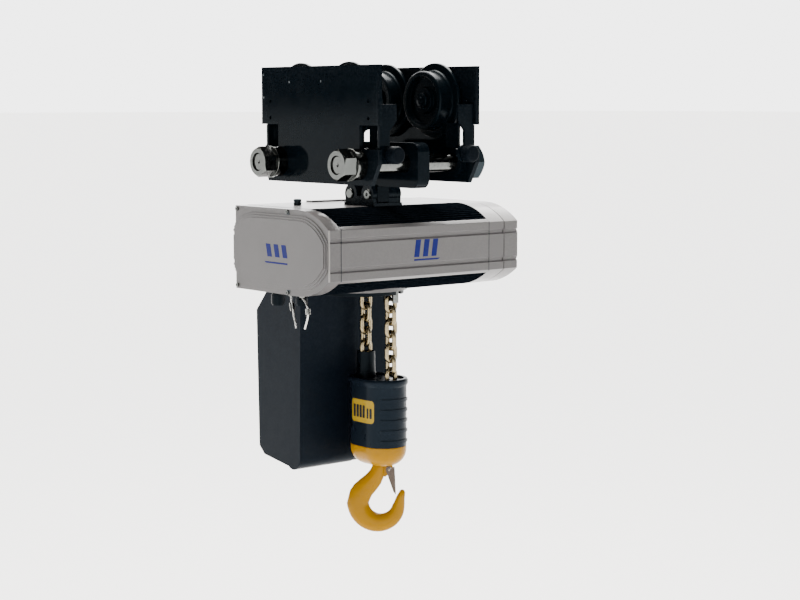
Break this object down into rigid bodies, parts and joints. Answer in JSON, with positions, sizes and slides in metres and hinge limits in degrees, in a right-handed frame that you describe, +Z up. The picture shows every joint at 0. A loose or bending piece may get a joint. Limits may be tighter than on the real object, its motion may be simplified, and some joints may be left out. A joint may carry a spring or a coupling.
{
  "type": "electric chain hoist",
  "caption": "Compact electric chain hoist on a flanged push trolley, with ribbed oblong body, chain bucket, hook block and swivel safety hook.",
  "frame": {"origin": "middle of the trolley on the running surface of the beam flange", "axes": "+X along the hoist body across the beam, +Y along the beam, +Z up"},
  "size_m": [0.615, 0.522, 1.1777],
  "materials": {
    "trolley_black": "glossy black paint",
    "zinc_steel": "bright zinc plated steel",
    "dark_nut": "blackened steel",
    "wheel_steel": "turned cast steel",
    "bearing_steel": "ground steel",
    "bumper_rubber": "dark rubber",
    "cast_black": "black painted casting",
    "cover_grey": "satin light grey paint",
    "profile_grey": "satin light grey paint",
    "rib_black": "black powder coat",
    "black_screw": "blackened steel",
    "black_plastic": "moulded plastic",
    "relief_wire": "stranded steel wire",
    "machine_steel": "machined steel",
    "control_green": "circuit board and cover",
    "bucket_plastic": "textured moulded plastic",
    "chain_zinc": "yellow chromated zinc",
    "block_grey": "dark grey powder coat",
    "hook_yellow": "glossy yellow paint",
    "latch_steel": "zinc plated sheet steel"
  },
  "bodies": {
    "trolley_and_hoist": {"side_plate_left": "trolley_black", "side_plate_right": "trolley_black", "cross_bars": "zinc_steel", "bar_nuts_left": "zinc_steel", "bar_spacers": "zinc_steel", "bar_nuts_right": "dark_nut", "hanger_plate": "trolley_black", "wheel_axles": "zinc_steel", "axle_circlips": "dark_nut", "bumper_brackets": "trolley_black", "bumpers": "bumper_rubber", "suspension_lug": "cast_black", "suspension_pins": "zinc_steel", "end_cover_left": "cover_grey", "end_cover_right": "cover_grey", "end_frame_right": "cover_grey", "front_profile": "profile_grey", "rear_housing": "profile_grey", "ribbed_shell_top": "rib_black", "ribbed_shell_bottom": "rib_black", "cover_screws": "black_screw", "top_plug": "black_screw", "chain_guide": "profile_grey", "guide_plate": "black_plastic", "dead_end_anchor": "zinc_steel", "cable_sockets": "black_plastic", "wire_glands": "zinc_steel", "wire_crimps": "zinc_steel", "relief_wire_front": "relief_wire", "relief_wire_rear": "relief_wire", "motor_stator": "machine_steel", "brake": "machine_steel", "control_unit": "control_green", "chain_bucket": "bucket_plastic", "chain_load_fall": "chain_zinc", "chain_dead_fall": "chain_zinc", "chain_slack": "chain_zinc"},
    "wheel_front_left": {"wheel_front_left": "wheel_steel", "bearing_front_left": "bearing_steel"},
    "wheel_front_right": {"wheel_front_right": "wheel_steel", "bearing_front_right": "bearing_steel"},
    "wheel_rear_left": {"wheel_rear_left": "wheel_steel", "bearing_rear_left": "bearing_steel"},
    "wheel_rear_right": {"wheel_rear_right": "wheel_steel", "bearing_rear_right": "bearing_steel"},
    "hook_block": {"block_half_left": "block_grey", "block_half_right": "block_grey", "block_cup": "hook_yellow", "chain_sleeve": "black_plastic", "sheave_axle": "zinc_steel", "chain_loop": "chain_zinc", "thrust_bearing": "zinc_steel"},
    "block_sheave": {"sheave": "machine_steel"},
    "hook": {"hook": "hook_yellow", "hook_nut": "zinc_steel", "latch_pin": "latch_steel"},
    "latch": {"latch": "latch_steel"},
    "load_wheel": {"load_wheel": "machine_steel"},
    "intermediate_gear": {"intermediate_gear": "machine_steel"},
    "motor_rotor": {"motor_rotor": "machine_steel"}
  },
  "joints": [
    {"name": "wheel_front_left_spin", "type": "hinge", "parent": "trolley_and_hoist", "child": "wheel_front_left", "pos_m": [-0.113, -0.097, 0.072], "axis": [1, 0, 0], "continuous": true},
    {"name": "wheel_rear_left_spin", "type": "hinge", "parent": "trolley_and_hoist", "child": "wheel_rear_left", "pos_m": [-0.113, 0.097, 0.072], "axis": [1, 0, 0], "continuous": true},
    {"name": "wheel_front_right_spin", "type": "hinge", "parent": "trolley_and_hoist", "child": "wheel_front_right", "pos_m": [0.113, -0.097, 0.072], "axis": [1, 0, 0], "continuous": true},
    {"name": "wheel_rear_right_spin", "type": "hinge", "parent": "trolley_and_hoist", "child": "wheel_rear_right", "pos_m": [0.113, 0.097, 0.072], "axis": [1, 0, 0], "continuous": true},
    {"name": "hook_block_lift", "type": "slide", "parent": "trolley_and_hoist", "child": "hook_block", "axis": [0, 0, 1], "range_m": [0, 0.1], "deforming": ["chain_load_fall", "chain_dead_fall"]},
    {"name": "sheave_spin", "type": "hinge", "parent": "hook_block", "child": "block_sheave", "pos_m": [0.02, -0.012, -0.69], "axis": [1, 0, 0], "range_deg": [0, 116.2]},
    {"name": "hook_swivel", "type": "hinge", "parent": "hook_block", "child": "hook", "pos_m": [0.02, -0.012, -0.838], "axis": [0, 0, 1], "continuous": true},
    {"name": "latch_hinge", "type": "hinge", "parent": "hook", "child": "latch", "pos_m": [0.04098, -0.02899, -0.852], "axis": [0.6293, 0.7771, 0], "range_deg": [0, 25], "stiffness_Nm_per_rad": 0.3, "springref_deg": -20.05},
    {"name": "load_wheel_spin", "type": "hinge", "parent": "trolley_and_hoist", "child": "load_wheel", "pos_m": [0.02, 0.08832, -0.287], "axis": [1, 0, 0], "range_deg": [-230.5, 0]},
    {"name": "intermediate_gear_spin", "type": "hinge", "parent": "trolley_and_hoist", "child": "intermediate_gear", "pos_m": [-0.054, 0.02832, -0.287], "axis": [1, 0, 0], "range_deg": [0, 687.4]},
    {"name": "motor_spin", "type": "hinge", "parent": "trolley_and_hoist", "child": "motor_rotor", "pos_m": [0.15, 0.08832, -0.287], "axis": [1, 0, 0], "range_deg": [-2058.1, 0]}
  ],
  "couplings": [
    {"joint": "load_wheel_spin", "follows": "hook_block_lift", "rad_per_m": -39.873},
    {"joint": "intermediate_gear_spin", "follows": "hook_block_lift", "rad_per_m": 119.62},
    {"joint": "motor_spin", "follows": "hook_block_lift", "rad_per_m": -358.86},
    {"joint": "sheave_spin", "follows": "hook_block_lift", "rad_per_m": 19.937}
  ]
}
